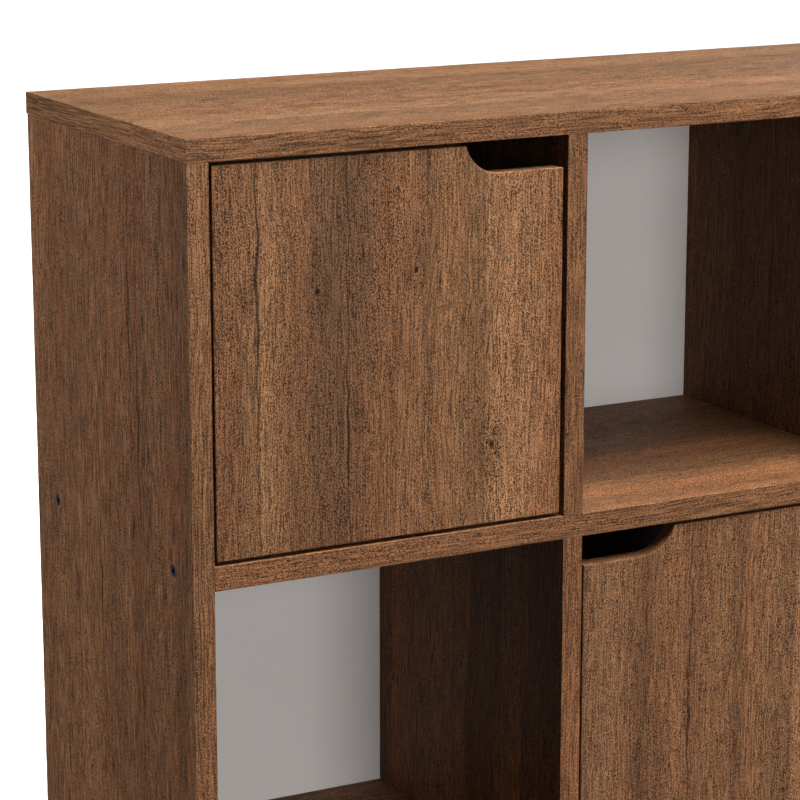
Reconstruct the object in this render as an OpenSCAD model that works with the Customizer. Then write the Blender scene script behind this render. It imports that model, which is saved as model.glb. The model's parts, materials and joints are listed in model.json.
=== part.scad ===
// Cube storage unit: three cubes wide and two high, with inset doors on three of the cubes.
// Origin: centre of the footprint on the floor. +Z is up and the front faces -Y.

/* [Carcass] */
// Thickness of the top, bottom, sides and dividers
board_t = 18; // [16:1:22]
// Thickness of the middle shelf
shelf_t = 19; // [16:1:22]
// Clear width and clear height of one cube
cube_w = 307; // [290:1:340]
// Depth of the sides, dividers, shelf and bottom
board_depth = 315; // [280:1:380]
// Thickness of the back panel
back_t = 3; // [2.5:0.5:4]
// Distance from the outer face of a side to the edge of the back panel
back_inset = 1.5; // [0:0.5:4]

/* [Doors] */
// Thickness of a door
door_t = 16; // [16:0.5:17]
// Gap between a closed door and the boards round it
door_gap = 3; // [2.5:0.5:4]
// Distance that a closed door stands back from the front edges
door_recess = 2; // [1:0.5:4]
// Depth of the finger notch below the top edge of a door
notch_depth = 22.5; // [15:0.5:28]
// Length of the straight part of the finger notch
notch_flat = 58; // [40:1:80]
// Radius of the inner end of the finger notch
notch_r = 30; // [29:0.5:40]

/* [Hinges] */
// Distance from the floor or ceiling of a cube to the middle of a hinge
hinge_in = 65; // [50:1:90]
// Distance from the hinge edge of a door to the hinge pin
pin_in = 12; // [12:0.5:13]
// Distance from the front face of a door to the hinge pin
pin_back = 8; // [7.5:0.5:8]
// Diameter of a hinge pin
pin_d = 3; // [2.5:0.1:3.2]

/* [Fixings] */
// Distance from the front edges to the front row of fixings
front_fix = 37; // [32:1:50]
// Distance from the rear edges to the rear row of fixings
rear_fix = 44; // [32:1:60]
// Length of a connecting screw
screw_len = 50; // [45:1:60]
// Diameter of the head of a connecting screw
screw_head_d = 10; // [9:0.5:12]
// Length of a short dowel
dowel_len = 30; // [25:1:35]
// Height of a floor glide
glide_h = 4; // [3:0.5:8]

/* [Hidden] */
$fn = 48;

// Colours
walnut = "#8f6a4d";
beech = "#d8b98c";
panel_grey = "#c9c6c2";
steel = "#8d939c";
dark_steel = "#4a505c";
zinc = "#b5b8bb";
plastic = "#2c2a28";
rubber = "#3a3a3c";

// Small amount by which a cut runs past the face that it opens
past = 1;
// Play round a fastener in its hole, on the radius
play = 0.05;
// Depth of a hole beyond the point of its fastener
spare = 0.5;

// Outer sizes and levels
pitch = cube_w + board_t;
unit_w = 3 * pitch + board_t;
front_y = -(board_depth + back_t) / 2;
rear_y = front_y + board_depth;
inner_x = unit_w / 2 - board_t;
floor_z = glide_h + board_t;
shelf_z = floor_z + cube_w;
upper_z = shelf_z + shelf_t;
top_z = upper_z + cube_w;

// Middles of the uprights, of the dividers among them, and of the columns of cubes
uprights = [for (i = [0 : 3]) (i - 1.5) * pitch];
dividers = [uprights[1], uprights[2]];
columns = [-pitch, 0, pitch];

// Rows of fixings, front to back
fix_y = [front_y + front_fix, rear_y - rear_fix];
mid_y = (fix_y[0] + fix_y[1]) / 2;

// Connecting screw
screw_d = 7;
screw_head_h = 2.6;
screw_point = 5;
screw_sink = 0.3;
socket_d = 4.6;
socket_depth = 2;

// Cam lock and its bolt
cam_d = 15;
cam_depth = 12.5;
cam_sink = 0.2;
cam_drop = 34;
cam_slot_l = 9;
cam_slot_w = 1.6;
bolt_d = 6;
bolt_thread_d = 7;
bolt_thread_l = 11;
bolt_way_d = 8.2;

// Dowels
dowel_d = 8;
dowel_short_end = 10;
dowel_chamfer = 1;
divider_dowel_len = shelf_t + 36;

// Cross recess of a wood screw, as shares of its head
recess_l = 0.6;
recess_w = 0.15;

// Nails of the back panel
nail_d = 1.6;
nail_len = 20;
nail_head_d = 4.4;
nail_head_h = 0.9;
nail_sink = 0.1;
side_nails = 6;
// Places of the nails in one cube, as shares of its size: across from its middle, and up from its floor
nails_across = [-0.25, 0.25];
nails_up = [0.3, 0.7];

// Floor glides
glide_d = 22;
glide_foot_d = 19;
glide_in = 19;
glide_nail_d = 2.4;
glide_nail_len = 16;
glide_nail_head_d = 7;
glide_nail_head_h = 1.2;

// Wall brackets
bracket_apart = 200;
bracket_w = 20;
bracket_leg = 25;
bracket_t = 2;
bracket_hole_d = 5;
bracket_hole_drop = 15;
bracket_screw_d = 3.5;
bracket_screw_len = 13;
bracket_screw_head_d = 7;
bracket_screw_head_h = 1.6;

// Door and the frame of one cube: x from the hinge wall, y from the front edges, z from the floor
door_w = cube_w - 2 * door_gap;
door_rear = door_recess + door_t;
pin_x = door_gap + pin_in;
pin_y = door_recess + pin_back;
hinge_z = [hinge_in, cube_w - hinge_in];

// Hinge cup, with x and y from the hinge pin
cup_d = 35;
cup_depth = 12;
cup_wall = 1;
cup_edge = 5;
cup_spare = 0.2;
cup_x = cup_edge + cup_d / 2 - pin_in;
cup_rear = door_t - pin_back;
flange_d = 38;
flange_t = 1;
cup_screw_pitch = 48;
cup_screw_x = cup_x + 6;
cup_screw_d = 3.5;
cup_screw_len = 12;
cup_screw_head_d = 7;
cup_screw_head_h = 1.5;
flange_ear_d = 10;
ear_r = 3;
ear_in = 6.3;
ear_out = 9.3;

// Hinge arm, with x and y from the hinge pin
eye_r = 2.5;
arm_h = 12;
arm_t = 2.6;
arm_reach = 16;
arm_turn_y = 15.4;
arm_end_y = 66;
arm_web_x = -4.5;
arm_web_t = 1;
arm_wall_gap = 2.4;
wall_x = -pin_x;

// Mounting plate of a hinge
plate_y = 45;
plate_l = 18;
plate_t = 2;
plate_screw_pitch = 32;
plate_screw_d = 3.5;
plate_screw_len = 14;
plate_screw_head_d = 7;
plate_screw_head_h = 1.6;
plate_wing = 12;
boss_w = 8.6;
boss_from = 24;
boss_to = 62;
boss_play = 0.2;
arm_screw_y = [32, 54];
arm_screw_d = 4;
arm_screw_head_d = 6.6;
arm_screw_head_h = 1.8;

// Door stop on the wall at the free edge of a door
stop_z = 60;
stop_size = [12, 16, 22];
stop_gap = 3.4;
pad_d = 9;
pad_h = 3;
stop_screw_d = 3.5;
stop_screw_len = 24;
stop_screw_head_d = 7;
stop_screw_head_h = 2;

// ---------- Fasteners: head at the origin, point along +Z ----------

// A screw or nail with a flat head, or the hole that it sits in when grow is above zero
module pin_with_head(d, len, head_d, head_h, grow = 0) {
    translate([0, 0, grow > 0 ? -past : 0])
        cylinder(d = head_d + 2 * grow, h = head_h + (grow > 0 ? past + grow : 0));
    cylinder(d = d + 2 * grow, h = len + grow);
}

// Connecting screw with a hexagon socket and a short point
module connecting_screw() {
    translate([0, 0, screw_sink])
        difference() {
            union() {
                cylinder(d = screw_head_d, h = screw_head_h);
                cylinder(d = screw_d, h = screw_len - screw_point);
                translate([0, 0, screw_len - screw_point])
                    cylinder(d1 = screw_d, d2 = screw_d / 2, h = screw_point);
            }
            translate([0, 0, -past])
                cylinder(d = socket_d, h = socket_depth + past, $fn = 6);
        }
}

module connecting_hole() {
    pin_with_head(screw_d, screw_len + past, screw_head_d, screw_head_h + screw_sink, play);
}

// Wood screw with a cross recess
module wood_screw(d, len, head_d, head_h) {
    recess = [head_d * recess_l, head_d * recess_w, head_h];
    difference() {
        pin_with_head(d, len, head_d, head_h);
        for (turn = [0, 90])
            rotate([0, 0, turn])
                cube(recess, center = true);
    }
}

// Wooden dowel along Z with chamfered ends, from z = 0
module dowel(len) {
    cylinder(d1 = dowel_d - dowel_chamfer, d2 = dowel_d, h = dowel_chamfer);
    translate([0, 0, dowel_chamfer])
        cylinder(d = dowel_d, h = len - 2 * dowel_chamfer);
    translate([0, 0, len - dowel_chamfer])
        cylinder(d1 = dowel_d, d2 = dowel_d - dowel_chamfer, h = dowel_chamfer);
}

module dowel_hole(len) {
    translate([0, 0, -spare])
        cylinder(d = dowel_d + 2 * play, h = len + 2 * spare);
}

// ---------- Places: each module puts its children at every spot of one kind ----------

module at_shelf_screws() {
    for (side = [-1, 1], y = fix_y)
        translate([side * unit_w / 2, y, shelf_z + shelf_t / 2])
            rotate([0, -side * 90, 0])
                children();
}

module at_bottom_screws() {
    for (x = uprights, y = fix_y)
        translate([x, y, glide_h])
            children();
}

// Cams sit in the right face of every upright but the last, which has them in its left face
module at_cams() {
    for (x = uprights, y = fix_y) {
        facing = x < inner_x ? 1 : -1;
        translate([x + facing * board_t / 2, y, top_z - cam_drop])
            rotate([0, facing * 90, 0])
                children();
    }
}

module at_cam_bolts() {
    for (x = uprights, y = fix_y)
        translate([x, y, top_z])
            children();
}

module at_top_dowels() {
    for (x = uprights)
        translate([x, mid_y, top_z + dowel_short_end - dowel_len])
            children();
}

module at_bottom_dowels() {
    for (x = uprights)
        translate([x, mid_y, floor_z - dowel_short_end])
            children();
}

module at_shelf_dowels() {
    for (side = [-1, 1])
        translate([side * (inner_x + dowel_short_end), mid_y, shelf_z + shelf_t / 2])
            rotate([0, -side * 90, 0])
                children();
}

module at_divider_dowels() {
    for (x = dividers, y = [fix_y[0], mid_y, fix_y[1]])
        translate([x, y, shelf_z + (shelf_t - divider_dowel_len) / 2])
            children();
}

module at_side_nails() {
    nail_step = (top_z - glide_h) / side_nails;
    for (x = [uprights[0], uprights[3]], i = [0 : side_nails - 1])
        at_back([x, glide_h + (i + 0.5) * nail_step])
            children();
}

module at_shelf_nails() {
    for (x = columns, part = nails_across)
        at_back([x + part * cube_w, shelf_z + shelf_t / 2])
            children();
}

module at_bottom_nails() {
    for (x = columns, part = nails_across)
        at_back([x + part * cube_w, glide_h + board_t / 2])
            children();
}

module at_divider_nails() {
    for (x = dividers, base = [floor_z, upper_z], part = nails_up)
        at_back([x, base + part * cube_w])
            children();
}

// A spot on the rear face of the back panel, pointing into the unit
module at_back(spot) {
    translate([spot[0], rear_y + back_t, spot[1]])
        rotate([90, 0, 0])
            children();
}

module at_glides() {
    end_x = unit_w / 2 - glide_in;
    for (x = concat([-end_x], dividers, [end_x]), y = [front_y + glide_in, rear_y - glide_in])
        translate([x, y, 0])
            children();
}

module at_brackets() {
    for (side = [-1, 1])
        translate([side * bracket_apart / 2, rear_y, top_z])
            children();
}

// The frame of the cube behind each door
module in_left_cube() {
    translate([-inner_x, front_y, upper_z])
        children();
}

module in_middle_cube() {
    translate([dividers[1] - board_t / 2, front_y, floor_z])
        mirror([1, 0, 0])
            children();
}

module in_right_cube() {
    translate([inner_x, front_y, upper_z])
        mirror([1, 0, 0])
            children();
}

// Both hinge pins of a door, inside the frame of its cube
module at_hinges() {
    for (z = hinge_z)
        translate([pin_x, pin_y, z])
            children();
}

module at_cup_screws() {
    at_hinges()
        for (side = [-1, 1])
            translate([cup_screw_x, cup_rear + flange_t + cup_screw_head_h, side * cup_screw_pitch / 2])
                rotate([90, 0, 0])
                    children();
}

module at_plate_screws() {
    at_hinges()
        for (side = [-1, 1])
            translate([wall_x + plate_t + plate_screw_head_h, plate_y, side * plate_screw_pitch / 2])
                rotate([0, -90, 0])
                    children();
}

module at_arm_screws() {
    at_hinges()
        for (y = arm_screw_y)
            translate([arm_web_x + arm_screw_head_h, y, 0])
                rotate([0, -90, 0])
                    children();
}

module at_stop_screw() {
    translate([cube_w - stop_size[0], door_rear + stop_gap + stop_size[1] / 2, stop_z])
        rotate([0, 90, 0])
            children();
}

// ---------- Boards ----------

module cam_hole() {
    translate([0, 0, -cam_depth - spare])
        cylinder(d = cam_d + 2 * play, h = cam_depth + spare + past);
}

module bolt_way() {
    translate([0, 0, -cam_drop])
        cylinder(d = bolt_way_d, h = cam_drop + past);
    cylinder(d = bolt_thread_d + 2 * play, h = bolt_thread_l + spare);
}

module back_nail_hole() {
    pin_with_head(nail_d, nail_len + spare, nail_head_d, nail_head_h, play);
}

module plate_screw_hole() {
    pin_with_head(plate_screw_d, plate_screw_len + spare, plate_screw_head_d, plate_screw_head_h, play);
}

module stop_screw_hole() {
    pin_with_head(stop_screw_d, stop_screw_len + spare, stop_screw_head_d, stop_screw_head_h, play);
}

module bracket_screw_hole() {
    pin_with_head(bracket_screw_d, bracket_screw_len + spare, bracket_screw_head_d, 0, play);
}

module top_panel() {
    color(walnut)
        difference() {
            translate([-unit_w / 2, front_y, top_z])
                cube([unit_w, board_depth + back_t, board_t]);
            at_cam_bolts()
                bolt_way();
            at_top_dowels()
                dowel_hole(dowel_len);
            at_bracket_screws()
                bracket_screw_hole();
        }
}

module bottom_panel() {
    color(walnut)
        difference() {
            translate([-unit_w / 2, front_y, glide_h])
                cube([unit_w, board_depth, board_t]);
            at_bottom_screws()
                connecting_hole();
            at_bottom_dowels()
                dowel_hole(dowel_len);
            at_bottom_nails()
                back_nail_hole();
            at_glides()
                cylinder(d = glide_nail_d + 2 * play, h = glide_nail_len + past + spare);
        }
}

// A side between bottom panel and top panel, with its middle at x
module side_board(x) {
    difference() {
        translate([x - board_t / 2, front_y, floor_z])
            cube([board_t, board_depth, top_z - floor_z]);
        at_shelf_screws()
            connecting_hole();
        at_bottom_screws()
            connecting_hole();
        at_cams()
            cam_hole();
        at_cam_bolts()
            bolt_way();
        at_top_dowels()
            dowel_hole(dowel_len);
        at_bottom_dowels()
            dowel_hole(dowel_len);
        at_shelf_dowels()
            dowel_hole(dowel_len);
        at_side_nails()
            back_nail_hole();
        children();
    }
}

module left_side() {
    color(walnut)
        side_board(uprights[0])
            in_left_cube()
                at_plate_screws()
                    plate_screw_hole();
}

module right_side() {
    color(walnut)
        side_board(uprights[3])
            in_right_cube()
                at_plate_screws()
                    plate_screw_hole();
}

module middle_shelf() {
    color(walnut)
        difference() {
            translate([-inner_x, front_y, shelf_z])
                cube([2 * inner_x, board_depth, shelf_t]);
            at_shelf_screws()
                connecting_hole();
            at_shelf_dowels()
                dowel_hole(dowel_len);
            at_divider_dowels()
                dowel_hole(divider_dowel_len);
            at_shelf_nails()
                back_nail_hole();
        }
}

// A divider between middle shelf and top panel, with its middle at x
module upper_divider(x) {
    difference() {
        translate([x - board_t / 2, front_y, upper_z])
            cube([board_t, board_depth, cube_w]);
        at_cams()
            cam_hole();
        at_cam_bolts()
            bolt_way();
        at_top_dowels()
            dowel_hole(dowel_len);
        at_divider_dowels()
            dowel_hole(divider_dowel_len);
        at_divider_nails()
            back_nail_hole();
        children();
    }
}

// A divider between bottom panel and middle shelf, with its middle at x
module lower_divider(x) {
    difference() {
        translate([x - board_t / 2, front_y, floor_z])
            cube([board_t, board_depth, cube_w]);
        at_bottom_screws()
            connecting_hole();
        at_bottom_dowels()
            dowel_hole(dowel_len);
        at_divider_dowels()
            dowel_hole(divider_dowel_len);
        at_divider_nails()
            back_nail_hole();
        children();
    }
}

module upper_left_divider() {
    color(walnut)
        upper_divider(dividers[0])
            in_left_cube()
                at_stop_screw()
                    stop_screw_hole();
}

module upper_right_divider() {
    color(walnut)
        upper_divider(dividers[1])
            in_right_cube()
                at_stop_screw()
                    stop_screw_hole();
}

module lower_left_divider() {
    color(walnut)
        lower_divider(dividers[0])
            in_middle_cube()
                at_stop_screw()
                    stop_screw_hole();
}

module lower_right_divider() {
    color(walnut)
        lower_divider(dividers[1])
            in_middle_cube()
                at_plate_screws()
                    plate_screw_hole();
}

module back_panel() {
    color(panel_grey)
        difference() {
            translate([back_inset - unit_w / 2, rear_y, glide_h])
                cube([unit_w - 2 * back_inset, back_t, top_z - glide_h]);
            at_side_nails()
                back_nail_hole();
            at_shelf_nails()
                back_nail_hole();
            at_bottom_nails()
                back_nail_hole();
            at_divider_nails()
                back_nail_hole();
            at_brackets()
                wall_screw_way(bracket_hole_d + past);
        }
}

// ---------- Fixings ----------

module shelf_screws() {
    color(dark_steel)
        at_shelf_screws()
            connecting_screw();
}

module bottom_screws() {
    color(dark_steel)
        at_bottom_screws()
            connecting_screw();
}

// Cam with a cross recess in its face and a way through it for the bolt
module cam_locks() {
    color(zinc)
        at_cams()
            difference() {
                translate([0, 0, -cam_depth - cam_sink])
                    cylinder(d = cam_d, h = cam_depth);
                translate([0, 0, -board_t / 2])
                    rotate([0, 90, 0])
                        cylinder(d = bolt_way_d, h = 2 * cam_d, center = true);
                for (turn = [45, 135])
                    rotate([0, 0, turn])
                        cube([cam_slot_l, cam_slot_w, 2 * cam_slot_w], center = true);
            }
}

module cam_bolts() {
    color(zinc)
        at_cam_bolts() {
            cylinder(d = bolt_thread_d, h = bolt_thread_l);
            translate([0, 0, -cam_drop])
                cylinder(d = bolt_d, h = cam_drop);
        }
}

module top_dowels() {
    color(beech)
        at_top_dowels()
            dowel(dowel_len);
}

module bottom_dowels() {
    color(beech)
        at_bottom_dowels()
            dowel(dowel_len);
}

module shelf_dowels() {
    color(beech)
        at_shelf_dowels()
            dowel(dowel_len);
}

module divider_dowels() {
    color(beech)
        at_divider_dowels()
            dowel(divider_dowel_len);
}

module back_nail() {
    translate([0, 0, nail_sink])
        pin_with_head(nail_d, nail_len, nail_head_d, nail_head_h - nail_sink);
}

module back_nails() {
    color(steel) {
        at_side_nails()
            back_nail();
        at_shelf_nails()
            back_nail();
        at_bottom_nails()
            back_nail();
        at_divider_nails()
            back_nail();
    }
}

module glides() {
    color(plastic)
        at_glides()
            difference() {
                cylinder(d1 = glide_foot_d, d2 = glide_d, h = glide_h);
                translate([0, 0, -past])
                    cylinder(d = glide_nail_head_d + 1, h = past + glide_h / 2);
                cylinder(d = glide_nail_d + 2 * play, h = glide_h + past);
            }
}

module glide_nails() {
    color(steel)
        at_glides()
            translate([0, 0, glide_h / 2 - glide_nail_head_h])
                pin_with_head(glide_nail_d, glide_nail_len, glide_nail_head_d, glide_nail_head_h);
}

// Way for a wall screw through a bracket and the back panel
module wall_screw_way(d) {
    translate([0, past, -bracket_hole_drop])
        translate([0, back_t, 0])
            rotate([90, 0, 0])
                cylinder(d = d, h = back_t + bracket_t + 2 * past);
}

// Steel angle under the top panel, against the back panel
module wall_brackets() {
    color(steel)
        at_brackets()
            difference() {
                union() {
                    translate([-bracket_w / 2, -bracket_leg, -bracket_t])
                        cube([bracket_w, bracket_leg, bracket_t]);
                    translate([-bracket_w / 2, -bracket_t, -bracket_leg])
                        cube([bracket_w, bracket_t, bracket_leg]);
                }
                wall_screw_way(bracket_hole_d);
                translate([0, -bracket_hole_drop, -bracket_t - past])
                    cylinder(d = bracket_screw_d + 2 * play, h = bracket_t + 2 * past);
            }
}

module at_bracket_screws() {
    at_brackets()
        translate([0, -bracket_hole_drop, -bracket_t - bracket_screw_head_h])
            children();
}

module bracket_screws() {
    color(steel)
        at_bracket_screws()
            wood_screw(bracket_screw_d, bracket_screw_len, bracket_screw_head_d, bracket_screw_head_h);
}

// ---------- Doors, in the frame of one cube ----------

// Outline of a door from its lower hinge corner, with the finger notch in its free top corner
module door_outline() {
    difference() {
        square([door_w, door_w]);
        translate([door_w - notch_flat, door_w - notch_depth])
            square([notch_flat + past, notch_depth + past]);
        translate([door_w - notch_flat, door_w - notch_depth + notch_r])
            circle(r = notch_r, $fn = 96);
    }
}

module door() {
    color(walnut)
        difference() {
            translate([door_gap, door_rear, door_gap])
                rotate([90, 0, 0])
                    linear_extrude(door_t)
                        door_outline();
            at_hinges()
                translate([cup_x, cup_rear + past, 0])
                    rotate([90, 0, 0])
                        cylinder(d = cup_d + 2 * play, h = cup_depth + past + cup_spare);
            at_cup_screws()
                cylinder(d = cup_screw_d + 2 * play, h = cup_screw_len + spare);
        }
}

// Flange of a hinge cup: a ring with two ears for its screws
module flange_outline() {
    difference() {
        union() {
            circle(d = flange_d);
            translate([0, -cup_screw_pitch / 2])
                square([cup_screw_x - cup_x, cup_screw_pitch]);
            for (side = [-1, 1])
                translate([cup_screw_x - cup_x, side * cup_screw_pitch / 2])
                    circle(d = flange_ear_d);
        }
        circle(d = cup_d - 2 * cup_wall);
        for (side = [-1, 1])
            translate([cup_screw_x - cup_x, side * cup_screw_pitch / 2])
                circle(d = cup_screw_d + 2 * play);
    }
}

// Pressed cup with a flange on the rear face of the door and two ears that hold the pin
module hinge_cup() {
    translate([cup_x, cup_rear + flange_t, 0])
        rotate([90, 0, 0])
            linear_extrude(flange_t)
                flange_outline();
    translate([cup_x, cup_rear, 0])
        rotate([90, 0, 0])
            difference() {
                cylinder(d = cup_d, h = cup_depth);
                translate([0, 0, -past])
                    cylinder(d = cup_d - 2 * cup_wall, h = cup_depth + past - cup_wall);
            }
    for (side = [-1, 1])
        translate([0, 0, side * (ear_in + ear_out) / 2])
            difference() {
                union() {
                    cylinder(r = ear_r, h = ear_out - ear_in, center = true);
                    translate([-ear_r, cup_rear - cup_depth + cup_wall / 2, (ear_in - ear_out) / 2])
                        cube([2 * ear_r, cup_depth - cup_rear - cup_wall / 2, ear_out - ear_in]);
                }
                cylinder(d = pin_d + play, h = ear_out, center = true);
            }
}

module hinge_cups() {
    color(steel)
        at_hinges()
            hinge_cup();
}

module cup_screws() {
    color(steel)
        at_cup_screws()
            wood_screw(cup_screw_d, cup_screw_len, cup_screw_head_d, cup_screw_head_h);
}

module hinge_pins() {
    color(zinc)
        at_hinges()
            cylinder(d = pin_d, h = 2 * ear_out, center = true);
}

// Arm in plan: eye round the pin, out of the cup, round the edge of the door and back to the wall
module arm_neck_outline() {
    difference() {
        union() {
            circle(r = eye_r);
            translate([0, -arm_t / 2])
                square([arm_reach, arm_t]);
            translate([arm_reach - arm_t, -arm_t / 2])
                square([arm_t, arm_turn_y + arm_t + arm_t / 2]);
            translate([wall_x + arm_wall_gap, arm_turn_y])
                square([arm_reach - wall_x - arm_wall_gap, arm_t]);
        }
        circle(d = pin_d + 2 * play);
    }
}

// Rear of the arm: a channel that sits over the boss of the mounting plate
module arm_channel() {
    channel_w = arm_web_x - wall_x - arm_wall_gap;
    difference() {
        translate([wall_x + arm_wall_gap, arm_turn_y, -arm_h / 2])
            cube([channel_w, arm_end_y - arm_turn_y, arm_h]);
        translate([wall_x, arm_turn_y + arm_t, -boss_w / 2 - boss_play])
            cube([arm_wall_gap + channel_w - arm_web_t, arm_end_y, boss_w + 2 * boss_play]);
        for (y = arm_screw_y)
            translate([wall_x, y, 0])
                rotate([0, 90, 0])
                    cylinder(d = arm_screw_d + 2 * play, h = 2 * pin_x);
    }
}

module hinge_arms() {
    color(steel)
        at_hinges() {
            linear_extrude(arm_h, center = true)
                arm_neck_outline();
            arm_channel();
        }
}

module hinge_plates() {
    color(zinc)
        at_hinges()
            difference() {
                union() {
                    translate([wall_x, plate_y - plate_l / 2, -plate_screw_pitch / 2 - plate_wing / 2])
                        cube([plate_t, plate_l, plate_screw_pitch + plate_wing]);
                    translate([wall_x, boss_from, -boss_w / 2])
                        cube([arm_web_x - wall_x - arm_web_t - boss_play, boss_to - boss_from, boss_w]);
                }
                for (side = [-1, 1])
                    translate([wall_x - past, plate_y, side * plate_screw_pitch / 2])
                        rotate([0, 90, 0])
                            cylinder(d = plate_screw_d + 2 * play, h = plate_t + 2 * past);
                for (y = arm_screw_y)
                    translate([wall_x - past, y, 0])
                        rotate([0, 90, 0])
                            cylinder(d = arm_screw_d + 2 * play, h = 2 * pin_x);
            }
}

module plate_screws() {
    color(steel)
        at_plate_screws()
            wood_screw(plate_screw_d, plate_screw_len, plate_screw_head_d, plate_screw_head_h);
}

module arm_screws() {
    color(zinc)
        at_arm_screws()
            wood_screw(arm_screw_d, arm_screw_head_h + pin_x / 2, arm_screw_head_d, arm_screw_head_h);
}

module door_stop() {
    color(plastic)
        difference() {
            translate([cube_w - stop_size[0], door_rear + stop_gap, stop_z - stop_size[2] / 2])
                cube(stop_size);
            at_stop_screw()
                stop_screw_hole();
        }
}

// Round pad on the front of the stop, just clear of the closed door
module stop_pad() {
    color(rubber)
        translate([cube_w - stop_size[0] / 2, door_rear + stop_gap, stop_z])
            rotate([90, 0, 0])
                cylinder(d = pad_d, h = pad_h);
}

module stop_screw() {
    color(steel)
        at_stop_screw()
            wood_screw(stop_screw_d, stop_screw_len, stop_screw_head_d, stop_screw_head_h);
}

top_panel();
bottom_panel();
left_side();
right_side();
middle_shelf();
upper_left_divider();
upper_right_divider();
lower_left_divider();
lower_right_divider();
back_panel();
shelf_screws();
bottom_screws();
cam_locks();
cam_bolts();
top_dowels();
bottom_dowels();
shelf_dowels();
divider_dowels();
back_nails();
glides();
glide_nails();
wall_brackets();
bracket_screws();
in_left_cube() door();  // left_door
in_left_cube() hinge_cups();  // left_hinge_cups
in_left_cube() cup_screws();  // left_cup_screws
in_left_cube() hinge_pins();  // left_hinge_pins
in_left_cube() hinge_arms();  // left_hinge_arms
in_left_cube() hinge_plates();  // left_hinge_plates
in_left_cube() plate_screws();  // left_plate_screws
in_left_cube() arm_screws();  // left_arm_screws
in_left_cube() door_stop();  // left_door_stop
in_left_cube() stop_pad();  // left_stop_pad
in_left_cube() stop_screw();  // left_stop_screw
in_middle_cube() door();  // middle_door
in_middle_cube() hinge_cups();  // middle_hinge_cups
in_middle_cube() cup_screws();  // middle_cup_screws
in_middle_cube() hinge_pins();  // middle_hinge_pins
in_middle_cube() hinge_arms();  // middle_hinge_arms
in_middle_cube() hinge_plates();  // middle_hinge_plates
in_middle_cube() plate_screws();  // middle_plate_screws
in_middle_cube() arm_screws();  // middle_arm_screws
in_middle_cube() door_stop();  // middle_door_stop
in_middle_cube() stop_pad();  // middle_stop_pad
in_middle_cube() stop_screw();  // middle_stop_screw
in_right_cube() door();  // right_door
in_right_cube() hinge_cups();  // right_hinge_cups
in_right_cube() cup_screws();  // right_cup_screws
in_right_cube() hinge_pins();  // right_hinge_pins
in_right_cube() hinge_arms();  // right_hinge_arms
in_right_cube() hinge_plates();  // right_hinge_plates
in_right_cube() plate_screws();  // right_plate_screws
in_right_cube() arm_screws();  // right_arm_screws
in_right_cube() door_stop();  // right_door_stop
in_right_cube() stop_pad();  // right_stop_pad
in_right_cube() stop_screw();  // right_stop_screw
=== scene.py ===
import bmesh
import bpy
import json
import math
from mathutils import Matrix, Vector


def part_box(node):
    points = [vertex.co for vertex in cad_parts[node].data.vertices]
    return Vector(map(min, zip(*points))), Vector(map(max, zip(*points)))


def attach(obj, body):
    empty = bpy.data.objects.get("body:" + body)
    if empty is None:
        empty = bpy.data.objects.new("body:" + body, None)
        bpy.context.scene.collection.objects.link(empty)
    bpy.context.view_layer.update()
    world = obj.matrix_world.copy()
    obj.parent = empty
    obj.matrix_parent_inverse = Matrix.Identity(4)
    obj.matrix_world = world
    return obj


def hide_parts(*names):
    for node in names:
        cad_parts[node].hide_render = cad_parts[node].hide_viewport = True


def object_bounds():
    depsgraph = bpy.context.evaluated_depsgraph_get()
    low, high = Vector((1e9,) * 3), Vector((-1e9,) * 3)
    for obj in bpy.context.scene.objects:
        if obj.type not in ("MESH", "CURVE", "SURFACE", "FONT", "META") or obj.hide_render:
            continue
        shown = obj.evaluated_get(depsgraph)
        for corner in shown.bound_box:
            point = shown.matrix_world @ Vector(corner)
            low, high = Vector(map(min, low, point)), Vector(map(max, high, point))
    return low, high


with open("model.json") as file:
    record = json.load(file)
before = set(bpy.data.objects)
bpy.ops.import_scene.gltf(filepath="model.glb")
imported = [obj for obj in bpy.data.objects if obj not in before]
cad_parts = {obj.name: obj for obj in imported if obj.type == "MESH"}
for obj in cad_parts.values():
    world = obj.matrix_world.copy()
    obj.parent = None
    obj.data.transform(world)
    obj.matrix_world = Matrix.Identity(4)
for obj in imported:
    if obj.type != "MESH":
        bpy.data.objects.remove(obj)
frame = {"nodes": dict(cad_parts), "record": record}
CAD_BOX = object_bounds()
LOW, HIGH = CAD_BOX
MM = 0.001
X, Y, Z = 0, 1, 2

# ---------------------------------------------------------------- shader graph helpers

# The colour sockets of a Mix node come after its number and vector sockets
MIX_FACTOR, MIX_FIRST, MIX_SECOND, MIX_RESULT = 0, 6, 7, 2
# A colour ramp holds tones up to 1, so they are stored divided by this
RAMP_TOP = 2.0
# Ranges that hold most of a noise's values, for turning it into something else
WIDE = (0.3, 0.7)
NARROW = (0.35, 0.65)


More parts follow.
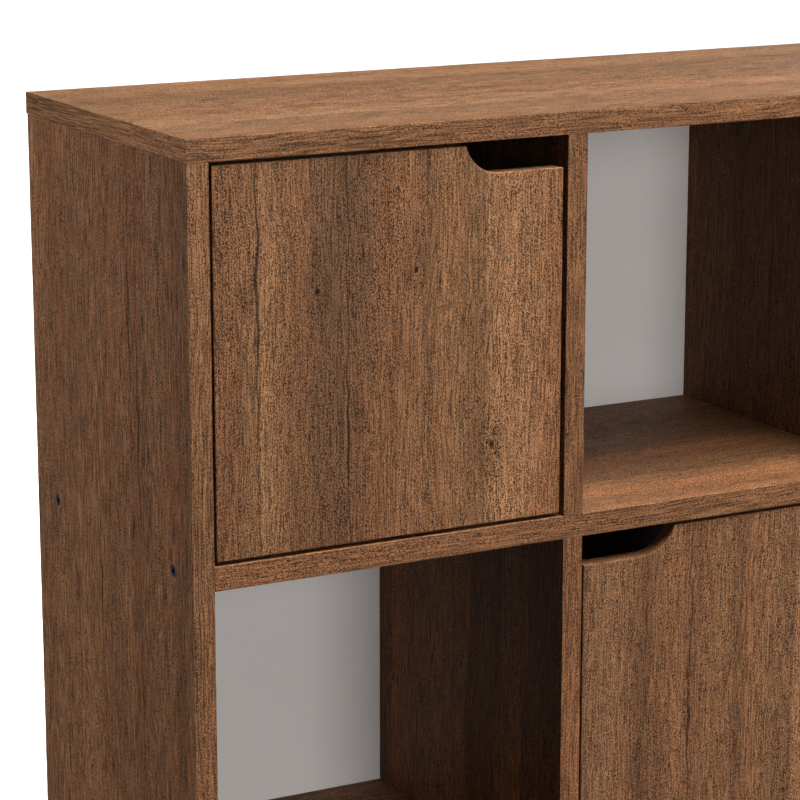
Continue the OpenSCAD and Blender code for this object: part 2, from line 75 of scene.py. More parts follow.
class Graph:
    """A node material under construction, with arithmetic on its sockets."""

    def __init__(self, name):
        self.material = bpy.data.materials.new(name)
        self.material.use_nodes = True
        self.nodes = self.material.node_tree.nodes
        self.links = self.material.node_tree.links
        self.nodes.clear()
        output = self.nodes.new("ShaderNodeOutputMaterial")
        self.shader = self.nodes.new("ShaderNodeBsdfPrincipled")
        self.links.new(self.shader.outputs["BSDF"], output.inputs["Surface"])

    def put(self, value, socket):
        if isinstance(value, Value):
            self.links.new(value.socket, socket)
        else:
            socket.default_value = value

    def math(self, operation, *values):
        made = self.nodes.new("ShaderNodeMath")
        made.operation = operation
        for value, socket in zip(values, made.inputs):
            self.put(value, socket)
        return Value(self, made.outputs[0])

    def position(self):
        made = self.nodes.new("ShaderNodeTexCoord")
        split = self.nodes.new("ShaderNodeSeparateXYZ")
        self.links.new(made.outputs["Object"], split.inputs[0])
        return [Value(self, split.outputs[axis]) for axis in (X, Y, Z)]

    def vector(self, x, y, z):
        made = self.nodes.new("ShaderNodeCombineXYZ")
        for value, socket in zip((x, y, z), made.inputs):
            self.put(value, socket)
        return Value(self, made.outputs[0])

    def noise(self, vector, detail=2.0, roughness=0.5, distortion=0.0):
        made = self.nodes.new("ShaderNodeTexNoise")
        made.inputs["Scale"].default_value = 1.0
        made.inputs["Detail"].default_value = detail
        made.inputs["Roughness"].default_value = roughness
        made.inputs["Distortion"].default_value = distortion
        self.put(vector, made.inputs["Vector"])
        return Value(self, made.outputs[0])

    def grain(self, scales, detail=2.0, roughness=0.5, distortion=0.0):
        """Noise over the object. The scales are its cells per metre along X, Y and Z."""
        scaled = [place * scale for place, scale in zip(self.position(), scales)]
        return self.noise(self.vector(*scaled), detail, roughness, distortion)

    def ramp(self, value, low, high, to_low=0.0, to_high=1.0, smooth=True):
        made = self.nodes.new("ShaderNodeMapRange")
        made.interpolation_type = "SMOOTHSTEP" if smooth else "LINEAR"
        limits = {"From Min": low, "From Max": high, "To Min": to_low, "To Max": to_high}
        for name, number in limits.items():
            self.put(number, made.inputs[name])
        self.put(value, made.inputs["Value"])
        return Value(self, made.outputs[0])

    def mix(self, factor, first, second, blend="MIX"):
        made = self.nodes.new("ShaderNodeMix")
        made.data_type = "RGBA"
        made.blend_type = blend
        self.put(factor, made.inputs[MIX_FACTOR])
        for value, place in ((first, MIX_FIRST), (second, MIX_SECOND)):
            self.put(value if isinstance(value, Value) else (*value, 1.0), made.inputs[place])
        return Value(self, made.outputs[MIX_RESULT])

    def times(self, color, factor):
        return self.mix(1.0, color, factor, "MULTIPLY")

    def shaded(self, color, shade):
        """A colour with each channel multiplied by the same number."""
        return self.times(color, self.vector(shade, shade, shade))

    def cells(self, coordinate):
        """A random number for each cell along one coordinate."""
        made = self.nodes.new("ShaderNodeTexVoronoi")
        made.voronoi_dimensions = "1D"
        made.inputs["Scale"].default_value = 1.0
        self.put(coordinate, made.inputs["W"])
        split = self.nodes.new("ShaderNodeSeparateColor")
        self.links.new(made.outputs["Color"], split.inputs[0])
        return Value(self, split.outputs[0])

    def bands(self, coordinate, stops):
        """A tone that follows (place, tone) stops along one coordinate.
        Two stops close together make a sharp border."""
        start, end = stops[0][0], stops[-1][0]
        made = self.nodes.new("ShaderNodeValToRGB")
        marks = made.color_ramp.elements
        for place, tone in stops[1:-1]:
            marks.new((place - start) / (end - start))
        for mark, (place, tone) in zip(marks, stops):
            stored = tone / RAMP_TOP
            mark.color = (stored, stored, stored, 1.0)
        self.put((coordinate - start) / (end - start), made.inputs[0])
        split = self.nodes.new("ShaderNodeSeparateColor")
        self.links.new(made.outputs[0], split.inputs[0])
        return Value(self, split.outputs[0]) * RAMP_TOP

    def bump(self, height, strength, distance):
        made = self.nodes.new("ShaderNodeBump")
        made.inputs["Strength"].default_value = strength
        made.inputs["Distance"].default_value = distance
        self.put(height, made.inputs["Height"])
        self.links.new(made.outputs[0], self.shader.inputs["Normal"])

    def surface(self, color, roughness, **constants):
        self.put(color, self.shader.inputs["Base Color"])
        self.put(roughness, self.shader.inputs["Roughness"])
        for name, number in constants.items():
            self.shader.inputs[name.replace("_", " ")].default_value = number
        return self.material


class Value:
    """A socket that can be added, subtracted, multiplied and divided."""

    def __init__(self, graph, socket):
        self.graph = graph
        self.socket = socket

    def __add__(self, other):
        return self.graph.math("ADD", self, other)

    def __sub__(self, other):
        return self.graph.math("SUBTRACT", self, other)

    def __mul__(self, other):
        return self.graph.math("MULTIPLY", self, other)

    def __truediv__(self, other):
        return self.graph.math("DIVIDE", self, other)


# ---------------------------------------------------------------- walnut

PLAIN = (1.0, 1.0, 1.0)
DARK_WALNUT = (0.120, 0.0565, 0.0270)
LIGHT_WALNUT = (0.222, 0.1045, 0.0490)
# Shifts of hue: along the grain, and in the dark staves
COOLER = (0.98, 1.015, 1.02)
WARMER = (1.035, 0.97, 0.94)
GREYER = (0.98, 1.015, 1.06)

# Patterns of the grain: their cells per metre along it and across it
SLOW_BEND = (3.0, 7.0)
QUICK_BEND = (20.0, 26.0)
BROAD = (1.5, 30.0)
STREAK = (7.0, 260.0)
LINE = (30.0, 1000.0)
DASH = (800.0, 1700.0)
PORE = (110.0, 1700.0)
LIVELY = (4.0, 28.0)
HUE = (1.2, 20.0)

# How far the two bends move the grain
SLOW_BEND_SIZE = 35 * MM
QUICK_BEND_SIZE = 8 * MM
# Shares of the bend that reach the depth of the board and the borders of the staves
DEPTH_BEND = 0.6
STAVE_BEND = 0.12
# How much of each pattern shows in the colour, on top of a fixed part
BROAD_RANGE = (0.32, 0.68)
BROAD_SHARE = 0.4
STREAK_SHARE = 0.2
FIXED_SHARE = 0.2
# How much each pattern darkens or lightens the finest grain, and the lightest that it gets
LIVELY_TONES = (0.7, 1.2)
PORE_RANGE = (0.42, 0.28)
DASH_SHARE = 9.0
LINE_SHARE = 4.0
PORE_SHARE = 0.8
FINE_TOP = 0.75
# Tones of the staves where a board has none of its own
STAVE_TONES = (0.76, 1.24)
STAVE_SLANT = 0.2
# Staves turn greyer from the second tone down to the first
GREY_TONES = (0.65, 1.0)
# Shifts along or across the grain, so that patterns of like scale don't line up
LIVELY_SHIFT = 3.0
HUE_SHIFT = 5.0
PORE_SHIFT = 9.0
# How far a board's seed moves its pattern in depth, for each metre that it moves it across
SEED_DEPTH = 0.37
GRAIN_HEIGHT = 0.18 * MM
WALNUT_ROUGHNESS = (0.62, 0.52)

# A knot: an eye that is a little longer than wide, in a long halo that pushes the grain aside
EYE_SQUASH = 0.6
EYE_CORE = 0.35
EYE_RIM = 1.2
EYE_TONE = 0.1
HALO_SQUASH = 0.2
HALO_REACH = 7.0
HALO_TONE = 0.74
KNOT_PUSH = 0.55
# A crack: how often and how far it wanders, its half width, and its tone
CRACK_TURNS = 26.0
CRACK_WANDER = 12 * MM
CRACK_WIDTH = 0.9 * MM
CRACK_TONE = 0.3


def walnut(name, along, across, seed, tone=PLAIN, contrast=1.0, lines=1.0, strip=0.045,
           sway=1.0, staves=None, knots=(), cracks=()):
    """Walnut-effect melamine. The grain runs along one axis, and the staves lie side by side across it.
    Staves are (across, tone) stops, or else strips of one width with tones of their own.
    A knot is (along, across, radius). A crack is (along, across, length). All are in metres."""
    g = Graph(name)
    place = g.position()
    depth = X + Y + Z - along - across
    u, v, w = place[along], place[across], place[depth]

    def pattern(scale, place_v, place_w, detail=1.0, roughness=0.5, shift_u=0.0, shift_v=0.0):
        scale_u, scale_v = scale
        cells = g.vector(u * scale_u + shift_u, place_v * scale_v + shift_v, place_w * scale_v)
        return g.noise(cells, detail, roughness)

    def centred(value):
        return value - 0.5

    marks = []
    bend = centred(pattern(SLOW_BEND, v, w, shift_u=seed)) * (SLOW_BEND_SIZE * sway)
    bend = bend + centred(pattern(QUICK_BEND, v, w, shift_u=seed)) * (QUICK_BEND_SIZE * sway)
    for spot_u, spot_v, radius in knots:
        du = u - spot_u
        dv = v - spot_v
        near = g.math("SQRT", du * du * EYE_SQUASH + dv * dv)
        far = g.math("SQRT", du * du * HALO_SQUASH + dv * dv)
        halo = g.ramp(far, radius, radius * HALO_REACH, 1.0, 0.0)
        bend = bend - dv * halo * KNOT_PUSH
        eye = g.ramp(near, radius * EYE_CORE, radius * EYE_RIM, EYE_TONE, 1.0)
        marks.append(eye * g.ramp(halo, 0.0, 1.0, 1.0, HALO_TONE))
    for spot_u, spot_v, length in cracks:
        wander = centred(g.noise(g.vector(u * CRACK_TURNS, seed, 0.0), detail=1.0)) * CRACK_WANDER
        away = g.math("ABSOLUTE", v - spot_v - wander)
        width = g.ramp(g.math("ABSOLUTE", u - spot_u), 0.0, length / 2, CRACK_WIDTH, 0.0)
        marks.append(g.ramp(away - width, 0.0, CRACK_WIDTH, CRACK_TONE, 1.0))

    bent_v = v + bend + seed
    bent_w = w + bend * DEPTH_BEND + seed * SEED_DEPTH
    broad = pattern(BROAD, bent_v, bent_w, detail=2.0, roughness=0.55)
    streak = pattern(STREAK, bent_v, bent_w, detail=2.0, roughness=0.6)
    line = pattern(LINE, bent_v, bent_w)
    dash = pattern(DASH, bent_v, bent_w)
    pore = pattern(PORE, bent_v, bent_w, shift_u=PORE_SHIFT)
    lively = g.ramp(pattern(LIVELY, bent_v, bent_w, shift_u=LIVELY_SHIFT), *NARROW, *LIVELY_TONES)
    hue = pattern(HUE, bent_v, bent_w, shift_v=HUE_SHIFT)
    if staves:
        stave = g.bands(v + bend * STAVE_BEND, staves)
    else:
        strips = g.cells((bent_v + bent_w * STAVE_SLANT) / strip)
        stave = g.ramp(strips, 0.0, 1.0, *STAVE_TONES, smooth=False)

    level = g.ramp(broad, *BROAD_RANGE) * BROAD_SHARE + g.ramp(streak, *WIDE) * STREAK_SHARE
    level = level + FIXED_SHARE
    base = g.times(g.mix(level, DARK_WALNUT, LIGHT_WALNUT), tone)
    base = g.times(base, g.mix(g.ramp(hue, *NARROW), COOLER, WARMER))
    base = g.mix(g.ramp(stave, *GREY_TONES, 1.0, 0.0), base, g.times(base, GREYER))
    fine = centred(dash) * lively * (DASH_SHARE * contrast) + centred(line) * (LINE_SHARE * lines)
    fine = g.math("MINIMUM", fine, FINE_TOP)
    pores = g.ramp(pore, *PORE_RANGE, 0.0, PORE_SHARE * contrast)
    shade = g.math("EXPONENT", fine - pores) * stave
    for mark in marks:
        shade = shade * mark
    g.bump(dash, strength=0.3, distance=GRAIN_HEIGHT)
    roughness = g.ramp(dash, *NARROW, *WALNUT_ROUGHNESS)
    return g.surface(g.shaded(base, shade), roughness, Specular_IOR_Level=0.12)


# ---------------------------------------------------------------- other materials


def chipboard(name):
    """The raw core of a board, seen in its drilled holes."""
    g = Graph(name)
    chip = g.grain((500.0, 500.0, 900.0), detail=2.0, roughness=0.6, distortion=0.8)
    color = g.mix(g.ramp(chip, *NARROW), (0.23, 0.15, 0.085), (0.47, 0.34, 0.21))
    g.bump(chip, strength=0.4, distance=0.3 * MM)
    return g.surface(color, g.ramp(chip, *WIDE, 0.9, 0.75), Specular_IOR_Level=0.2)


def back_sheet(name, front_face_to):
    """Hardboard that is painted pale grey on its front and left brown and fibrous on its rear."""
    g = Graph(name)
    speck = g.grain((500.0, 500.0, 500.0), detail=3.0, roughness=0.6)
    cloud = g.grain((5.0, 5.0, 5.0))
    fibre = g.grain((420.0, 420.0, 420.0), detail=4.0, roughness=0.7, distortion=1.5)
    clump = g.grain((90.0, 90.0, 90.0), detail=3.0, roughness=0.65, distortion=1.0)
    paint_shade = g.ramp(cloud, *WIDE, 0.97, 1.02) * g.ramp(speck, *WIDE, 0.98, 1.015)
    paint = g.shaded((0.74, 0.706, 0.682), paint_shade)
    brown_shade = g.ramp(cloud, *WIDE, 0.95, 1.04) * g.ramp(clump, *NARROW, 0.86, 1.12)
    brown = g.mix(g.ramp(fibre, *NARROW), (0.115, 0.062, 0.032), (0.27, 0.16, 0.09))
    rear = g.math("GREATER_THAN", g.position()[Y], front_face_to)
    color = g.mix(rear, paint, g.shaded(brown, brown_shade))
    g.bump(speck * 0.2 + fibre * rear, strength=0.3, distance=0.3 * MM)
    return g.surface(color, g.ramp(speck, *WIDE, 0.55, 0.68), Specular_IOR_Level=0.25)


def metal(name, tint, rough):
    """Plated or cast metal, brushed along Y and a little stained."""
    g = Graph(name)
    brushed = g.grain((2500.0, 300.0, 2500.0), detail=2.0, roughness=0.6)
    stain = g.grain((60.0, 60.0, 60.0))
    shade = g.ramp(brushed, *WIDE, 0.88, 1.0) * g.ramp(stain, *WIDE, 0.92, 1.0)
    g.bump(brushed, strength=0.12, distance=0.05 * MM)
    return g.surface(g.shaded(tint, shade), g.ramp(stain, *WIDE, rough + 0.08, rough - 0.05), Metallic=0.75)


def moulded(name, tint, rough):
    """Moulded plastic or rubber with a fine texture."""
    g = Graph(name)
    texture = g.grain((1800.0, 1800.0, 1800.0), detail=2.0, roughness=0.6)
    color = g.shaded(tint, g.ramp(texture, *WIDE, 0.85, 1.1))
    g.bump(texture, strength=0.3, distance=0.1 * MM)
    return g.surface(color, g.ramp(texture, *WIDE, rough + 0.06, rough - 0.06), Specular_IOR_Level=0.4)


def beech(name):
    """Pale dowel wood."""
    g = Graph(name)
    fibre = g.grain((300.0, 300.0, 60.0), detail=3.0, roughness=0.6)
    color = g.mix(g.ramp(fibre, *WIDE), (0.42, 0.27, 0.15), (0.62, 0.43, 0.26))
    g.bump(fibre, strength=0.2, distance=0.1 * MM)
    return g.surface(color, g.ramp(fibre, *WIDE, 0.7, 0.55))


# ---------------------------------------------------------------- boards and doors

# Material slots of a board. A door has the first three
FACE, ENDS, INSIDE, FRONT = range(4)
# How far a face's normal has to point along an axis to get the banding of that side
BOARD_FACING = 0.7
DOOR_FACING = 0.5
# A fastener head within this distance of a board's face gets a pit there, wider by the play
HEAD_REACH = 0.5 * MM
HEAD_PLAY = 0.05 * MM
PIT_SEGMENTS = 48
ARRIS_ANGLE = math.radians(40)
BOARD_ARRIS = 0.6 * MM
DOOR_ARRIS = 0.9 * MM


def solids(node):
    """The lowest and highest corner of each separate solid in a CAD node, in an order of their places."""
    bm = bmesh.new()
    bm.from_mesh(frame["nodes"][node].data)
    bmesh.ops.remove_doubles(bm, verts=bm.verts, dist=MM / 1000)
    waiting = set(bm.verts)
    boxes = []
    while waiting:
        front = [waiting.pop()]
        found = list(front)
        while front:
            for edge in front.pop().link_edges:
                for vertex in edge.verts:
                    if vertex in waiting:
                        waiting.remove(vertex)
                        front.append(vertex)
                        found.append(vertex)
        low = Vector([min(vertex.co[axis] for vertex in found) for axis in (X, Y, Z)])
        high = Vector([max(vertex.co[axis] for vertex in found) for axis in (X, Y, Z)])
        boxes.append((low, high))
    bm.free()
    return sorted(boxes, key=lambda box: (*box[0], *box[1]))


def link(name, bm, materials):
    """Turn a finished bmesh into an object in the scene."""
    mesh = bpy.data.meshes.new(name)
    bm.to_mesh(mesh)
    bm.free()
    piece = bpy.data.objects.new(name, mesh)
    bpy.context.scene.collection.objects.link(piece)
    for material in materials:
        mesh.materials.append(material)
    return piece


def add_pit(bm, center, axis, radius, start, end):
    """A cylinder for cutting a round hole, from start to end along an axis."""
    right_angle = math.pi / 2
    turn = {
        X: Matrix.Rotation(right_angle, 4, "Y"),
        Y: Matrix.Rotation(right_angle, 4, "X"),
        Z: Matrix.Identity(4),
    }
    spot = Vector(center)
    spot[axis] = (start + end) / 2
    place = Matrix.Translation(spot) @ turn[axis]
    size = {"radius1": radius, "radius2": radius, "depth": abs(end - start)}
    bmesh.ops.create_cone(bm, cap_ends=True, segments=PIT_SEGMENTS, matrix=place, **size)


def heads_in(box, fasteners):
    """The pits for fastener heads that lie at a face of a board: (node, axis, depth) for each kind."""
    low, high = box
    pits = []
    for node, axis, depth in fasteners:
        sides = [other for other in (X, Y, Z) if other != axis]
        for s_low, s_high in solids(node):
            center = (s_low + s_high) / 2
            if not all(low[side] < center[side] < high[side] for side in sides):
                continue
            radius = min(s_high[side] - s_low[side] for side in sides) / 2 + HEAD_PLAY
            if abs(s_high[axis] - high[axis]) < HEAD_REACH:
                pits.append((center, axis, radius, high[axis] + MM, high[axis] - depth))
            if abs(s_low[axis] - low[axis]) < HEAD_REACH:
                pits.append((center, axis, radius, low[axis] - MM, low[axis] + depth))
    return pits


def finish_board(name, bm, materials, pits, arris, segments):
    """Cut the pits, round the arrises, and keep the result as a plain mesh."""
    piece = link(name, bm, materials)
    if pits:
        cutter_bm = bmesh.new()
        for pit in pits:
            add_pit(cutter_bm, *pit)
        for face in cutter_bm.faces:
            face.material_index = INSIDE
        cutter = link(name + "_cutter", cutter_bm, materials)
        cut = piece.modifiers.new("pits", "BOOLEAN")
        cut.operation = "DIFFERENCE"
        cut.solver = "EXACT"
        cut.object = cutter
    bevel = piece.modifiers.new("arrises", "BEVEL")
    bevel.width = arris
    bevel.segments = segments
    bevel.limit_method = "ANGLE"
    bevel.angle_limit = ARRIS_ANGLE
    bevel.harden_normals = True
    for polygon in piece.data.polygons:
        polygon.use_smooth = True
    bpy.context.view_layer.update()
    finished = piece.evaluated_get(bpy.context.evaluated_depsgraph_get())
    made = bpy.data.meshes.new_from_object(finished)
    piece.modifiers.clear()
    piece.data = made
    if pits:
        bpy.data.objects.remove(cutter)
    return piece


CORE = chipboard("chipboard_core")
# The banding on a board's ends and front: its tint, and staves that are all alike
BAND_TINT = (1.0, 0.96, 0.92)
END_TINT = (1.15, 1.13, 1.11)
EVEN = [(-1.0, 1.0), (1.0, 1.0)]
# What is added to the seed of a board or door for its other sides
END_SEED = 3.3
FRONT_SEED = 5.1
EDGE_SEED = 2.1
END_LOOKS = {"tone": END_TINT, "contrast": 0.6, "sway": 0.3, "staves": EVEN}
FRONT_LOOKS = {"contrast": 0.8, "sway": 0.5, "staves": EVEN}


def board(name, node, grain, seed, pits=(), front=1.07, **looks):
    """A board in place of a CAD board: rounded arrises, and banding of its own on the ends and the front.
    The number for the front is how light its banding is."""
    low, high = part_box(node)
    size = high - low
    bm = bmesh.new()
    bmesh.ops.create_cube(bm, size=1.0)
    for vertex in bm.verts:
        vertex.co = low + Vector([(vertex.co[axis] + 0.5) * size[axis] for axis in (X, Y, Z)])
    for face in bm.faces:
        if abs(face.normal[grain]) > BOARD_FACING:
            face.material_index = ENDS
        elif face.normal.y < -BOARD_FACING:
            face.material_index = FRONT
        else:
            face.material_index = FACE
    thin = X + Z - grain
    front_tone = [front * share for share in BAND_TINT]
    materials = [
        walnut(name + "_face", grain, Y, seed, **looks),
        walnut(name + "_ends", Y, thin, seed + END_SEED, **END_LOOKS),
        CORE,
        walnut(name + "_front", grain, thin, seed + FRONT_SEED, tone=front_tone, **FRONT_LOOKS),
    ]
    piece = finish_board(name, bm, materials, heads_in((low, high), pits), BOARD_ARRIS, segments=2)
    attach(piece, "carcass")
    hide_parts(node)


HEAD_DEPTH = 3 * MM
CAM_DEPTH = 12.5 * MM
SIDE_PITS = [("shelf_screws", X, HEAD_DEPTH), ("cam_locks", X, CAM_DEPTH)]

LEFT_SIDE_LOOKS = {
    "tone": (0.92, 0.89, 0.89),
    "lines": 1.7,
    # These staves follow the side's brightness: real stave borders, plus painted light that makes the side
    # darker at the front and lighter towards its rear edge
    "staves": [
        (-0.160, 0.84), (-0.140, 0.80), (-0.118, 0.90), (-0.1165, 0.99), (-0.095, 0.97),
        (-0.070, 0.92), (-0.034, 1.02), (0.009, 0.95), (0.0105, 1.13), (0.042, 1.18),
        (0.073, 1.14), (0.0745, 1.02), (0.095, 1.05), (0.160, 1.25),
    ],
    "knots": [(0.3389, -0.1448, 0.0016)],
    "cracks": [(0.52, -0.046, 0.16), (0.44, -0.060, 0.10), (0.30, 0.02, 0.12)],
}
TOP_LOOKS = {"tone": (0.95, 1.03, 1.08), "contrast": 0.9, "lines": 1.3}
SHELF_LOOKS = {"tone": (1.12, 1.06, 0.98), "contrast": 1.4, "lines": 1.3}
# Painted shade: the upper right and lower left dividers are darker and browner where shade falls in their
# compartments; the other two keep the plain tone
DIVIDER_PAINTED_SHADE = {
    "upper_left": PLAIN,
    "upper_right": (0.64, 0.57, 0.43),
    "lower_left": (0.86, 0.78, 0.58),
    "lower_right": PLAIN,
}
DIVIDER_CRACKS = [(0.49, 0.02, 0.09), (0.42, -0.06, 0.08)]

board("top_board", "top_panel", X, 1.0, **TOP_LOOKS)
board("bottom_board", "bottom_panel", X, 2.0, [("bottom_screws", Z, HEAD_DEPTH)])
board("left_board", "left_side", Z, 3.0, SIDE_PITS, front=1.14, **LEFT_SIDE_LOOKS)
board("right_board", "right_side", Z, 4.0, SIDE_PITS, lines=1.7, strip=0.06)
board("shelf_board", "middle_shelf", X, 5.0, **SHELF_LOOKS)
# Each divider's tone carries its painted shade
for number, (place, tone) in enumerate(DIVIDER_PAINTED_SHADE.items()):
    pits = [("cam_locks", X, CAM_DEPTH)] if place.startswith("upper") else []
    looks = {"front": 1.01, "tone": tone, "lines": 1.4, "cracks": DIVIDER_CRACKS}
    board(place + "_divider_board", place + "_divider", Z, 6.0 + number, pits, **looks)

NOTCH_DEPTH = 22.5 * MM
NOTCH_FLAT = 58 * MM
NOTCH_RADIUS = 30 * MM
NOTCH_STEPS = 24
CUP_FROM_PIN = 10.5 * MM
CUP_RADIUS = 17.55 * MM
CUP_DEPTH = 12.2 * MM


def door_outline(width, height):
    """Corner points from the hinge edge, with the finger notch at the far top corner."""
    rise = NOTCH_RADIUS - NOTCH_DEPTH
    last = math.asin(rise / NOTCH_RADIUS)
    points = [(0.0, 0.0), (width, 0.0), (width, height - NOTCH_DEPTH)]
    for step in range(NOTCH_STEPS + 1):
        angle = -math.pi / 2 - (math.pi / 2 - last) * step / NOTCH_STEPS
        x = width - NOTCH_FLAT + NOTCH_RADIUS * math.cos(angle)
        z = height + rise + NOTCH_RADIUS * math.sin(angle)
        points.append((x, z))
    points.append((0.0, height))
    return points


def door(name, node, body, pins, hinge_side, seed, **looks):
    """A door with its finger notch and its hinge cup holes. The hinge side is -1 for left and 1 for right."""
    low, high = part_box(node)
    start = low.x if hinge_side < 0 else high.x
    bm = bmesh.new()
    rings = []
    for y in (low.y, high.y):
        outline = door_outline(high.x - low.x, high.z - low.z)
        rings.append([bm.verts.new((start - hinge_side * x, y, low.z + z)) for x, z in outline])
    for ring in rings:
        bm.faces.new(ring)
    count = len(rings[0])
    for first in range(count):
        second = (first + 1) % count
        bm.faces.new((rings[0][first], rings[0][second], rings[1][second], rings[1][first]))
    bmesh.ops.recalc_face_normals(bm, faces=bm.faces)
    for face in bm.faces:
        face.material_index = ENDS if abs(face.normal.z) > DOOR_FACING else FACE
    pits = []
    for pin_low, pin_high in solids(pins):
        center = (pin_low + pin_high) / 2
        center.x -= hinge_side * CUP_FROM_PIN
        pits.append((center, Y, CUP_RADIUS, high.y + MM, high.y - CUP_DEPTH))
    materials = [
        walnut(name + "_face", Z, X, seed, **looks),
        walnut(name + "_edge", X, Y, seed + EDGE_SEED),
        CORE,
    ]
    piece = finish_board(name, bm, materials, pits, DOOR_ARRIS, segments=3)
    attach(piece, body)
    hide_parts(node)


LEFT_LOOKS = {
    "tone": (0.98, 0.99, 0.97),
    "staves": [
        (-0.4756, 1.04), (-0.4400, 0.95), (-0.4388, 1.24), (-0.4250, 1.18), (-0.4050, 0.95),
        (-0.3960, 0.92), (-0.3948, 0.74), (-0.3700, 0.64), (-0.3655, 0.72), (-0.3500, 0.80), (-0.3250, 0.97),
        (-0.3005, 1.15), (-0.2992, 0.95), (-0.2830, 1.12), (-0.2580, 1.00), (-0.2436, 1.04),
        (-0.2424, 1.38), (-0.2260, 1.50), (-0.2050, 1.33), (-0.1900, 1.14), (-0.1744, 0.96),
    ],
    "knots": [(0.5507, -0.3898, 0.0028), (0.5601, -0.3052, 0.0024), (0.4154, -0.2378, 0.0030)],
    "cracks": [(0.56, -0.440, 0.16), (0.44, -0.364, 0.10)],
}
MIDDLE_LOOKS = {
    "tone": (1.06, 1.08, 1.10),
    "staves": [
        (-0.1486, 0.90), (-0.1400, 1.14), (-0.1250, 1.18), (-0.1040, 1.03), (-0.0935, 0.72),
        (-0.0850, 0.70), (-0.0835, 0.90), (-0.0740, 0.82), (-0.0580, 1.00), (-0.0430, 0.84),
        (-0.0190, 1.04), (-0.0050, 0.95), (0.0050, 0.72), (0.0130, 0.95), (0.0300, 1.05),
        (0.0602, 0.82), (0.0615, 1.24), (0.0900, 1.08), (0.1200, 0.95), (0.1525, 1.05),
    ],
    "cracks": [(0.155, -0.0455, 0.09)],
}
RIGHT_LOOKS = {
    "knots": [(0.47, 0.30, 0.0026)],
}
door("left_door_leaf", "left_door", "left_leaf", "left_hinge_pins", -1, 11.0, **LEFT_LOOKS)
door("middle_door_leaf", "middle_door", "middle_leaf", "middle_hinge_pins", 1, 12.0, **MIDDLE_LOOKS)
door("right_door_leaf", "right_door", "right_leaf", "right_hinge_pins", 1, 13.0, **RIGHT_LOOKS)

# ---------------------------------------------------------------- looks of the CAD nodes that stay

KIND = {
    "back_board": back_sheet("painted_hardboard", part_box("back_panel")[0].y + 0.2 * MM),
    "screw_steel": metal("dark_screws", (0.05, 0.06, 0.08), 0.45),
    "steel": metal("plated_steel", (0.66, 0.67, 0.69), 0.38),
    "zinc": metal("zinc_casting", (0.66, 0.66, 0.66), 0.48),
    "glide_plastic": moulded("black_plastic", (0.025, 0.024, 0.023), 0.48),
    "stop_pad_rubber": moulded("rubber", (0.03, 0.03, 0.032), 0.75),
    "beech_dowel": beech("beech"),
    "walnut_board": CORE,
}
for part in frame["record"]["subparts"]:
    thing = frame["nodes"][part["node"]]
    thing.data.materials.clear()
    thing.data.materials.append(KIND[part["material_slot"]])

# ---------------------------------------------------------------- stage

STAGE_RADIUS = 30.0
STAGE_SEGMENTS = 96
STAGE_ROUGHNESS = 0.9
FLOOR_TONES = (0.84, 0.87)
BACKDROP_TONES = (0.98, 1.0)
WORLD_STRENGTH = 0.02

bm = bmesh.new()
bmesh.ops.create_circle(bm, cap_ends=True, segments=STAGE_SEGMENTS, radius=STAGE_RADIUS)
paint = Graph("floor_paint")
x, y = paint.position()[:2]
mottle = paint.noise(paint.vector(x * 3.0, y * 3.0, 0.0), detail=3.0)
level = paint.ramp(mottle, *WIDE, *FLOOR_TONES)
floor = link("floor", bm, [paint.surface(paint.vector(level, level, level), STAGE_ROUGHNESS)])

# The backdrop is an open wall that glows, so it needs no light of its own
bm = bmesh.new()
wall = {"radius1": STAGE_RADIUS, "radius2": STAGE_RADIUS, "depth": STAGE_RADIUS}
bmesh.ops.create_cone(bm, segments=STAGE_SEGMENTS, **wall)
bmesh.ops.translate(bm, verts=bm.verts, vec=(0.0, 0.0, STAGE_RADIUS / 2))
paint = Graph("backdrop_paint")
level = paint.ramp(paint.grain((0.1, 0.1, 0.1)), *WIDE, *BACKDROP_TONES)
glow = paint.vector(level, level, level)
paint.put(glow, paint.shader.inputs["Emission Color"])
backdrop = link("backdrop", bm, [paint.surface(glow, STAGE_ROUGHNESS, Emission_Strength=1.0)])
for shown in (floor, backdrop):
    shown.visible_diffuse = False
    shown.visible_glossy = False
backdrop.visible_shadow = False

world = bpy.data.worlds.new("studio")
bpy.context.scene.world = world
world.use_nodes = True
world.node_tree.nodes["Background"].inputs["Color"].default_value = (1.0, 1.0, 1.0, 1.0)
world.node_tree.nodes["Background"].inputs["Strength"].default_value = WORLD_STRENGTH

# ---------------------------------------------------------------- light

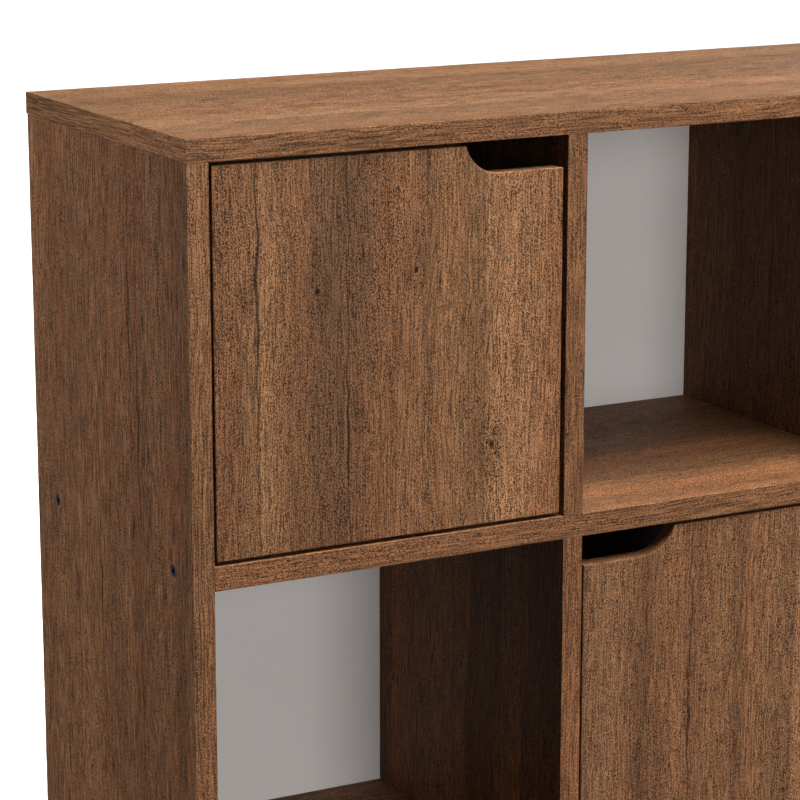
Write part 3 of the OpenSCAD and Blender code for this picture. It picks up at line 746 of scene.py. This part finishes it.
# Azimuth and elevation in degrees, distance and size in metres, and power in watts.
# Azimuth 0 is straight in front
SOFTBOXES = {
    "front_softbox": (-1, 8, 4.5, 2.0, 96),
    "key_softbox": (20, 62, 4.0, 1.6, 125),
    "overhead_softbox": (25, 78, 4.0, 1.6, 190),
    "left_fill": (-110, 15, 4.5, 2.0, 122),
    "right_fill": (125, 6, 4.5, 2.0, 120),
}
FLOOR_LIGHT_STRENGTH = 3.9
FLOOR_LIGHT_ANGLE = math.radians(70)


def softbox(name, azimuth, elevation, distance, size, power):
    """An area light aimed at the middle of the object."""
    target = (LOW + HIGH) / 2
    a, e = math.radians(azimuth), math.radians(elevation)
    away = Vector((math.sin(a) * math.cos(e), -math.cos(a) * math.cos(e), math.sin(e)))
    data = bpy.data.lights.new(name, "AREA")
    data.shape = "DISK"
    data.size = size
    data.energy = power
    light = bpy.data.objects.new(name, data)
    light.location = target + away * distance
    light.rotation_euler = away.to_track_quat("Z", "Y").to_euler()
    bpy.context.scene.collection.objects.link(light)


for name, setting in SOFTBOXES.items():
    softbox(name, *setting)

# A light for the floor alone keeps the ground near white without washing out the object
lit_floor = bpy.data.collections.new("lit_floor")
lit_floor.objects.link(floor)
sky_data = bpy.data.lights.new("floor_light", "SUN")
sky_data.energy = FLOOR_LIGHT_STRENGTH
sky_data.angle = FLOOR_LIGHT_ANGLE
sky = bpy.data.objects.new("floor_light", sky_data)
bpy.context.scene.collection.objects.link(sky)
sky.light_linking.receiver_collection = lit_floor

# ---------------------------------------------------------------- camera

LENS = 130.7
SENSOR_WIDTH = 36.0
SIGHT = 100.0
# The camera stands to the left of the object, in front of it and above it, and looks down and to the right
LEFT_OF_OBJECT = 0.855
IN_FRONT = 1.911
ABOVE = 0.294
LOOKS_DOWN = 13.14
LOOKS_RIGHT = 28.35

camera_data = bpy.data.cameras.new("camera")
camera_data.lens = LENS
camera_data.sensor_width = SENSOR_WIDTH
camera_data.clip_end = SIGHT
camera = bpy.data.objects.new("camera", camera_data)
camera.location = (LOW.x - LEFT_OF_OBJECT, LOW.y - IN_FRONT, HIGH.z + ABOVE)
camera.rotation_euler = (math.radians(90 - LOOKS_DOWN), 0.0, math.radians(-LOOKS_RIGHT))
bpy.context.scene.collection.objects.link(camera)
bpy.context.scene.camera = camera
bpy.context.scene.view_settings.view_transform = "Standard"
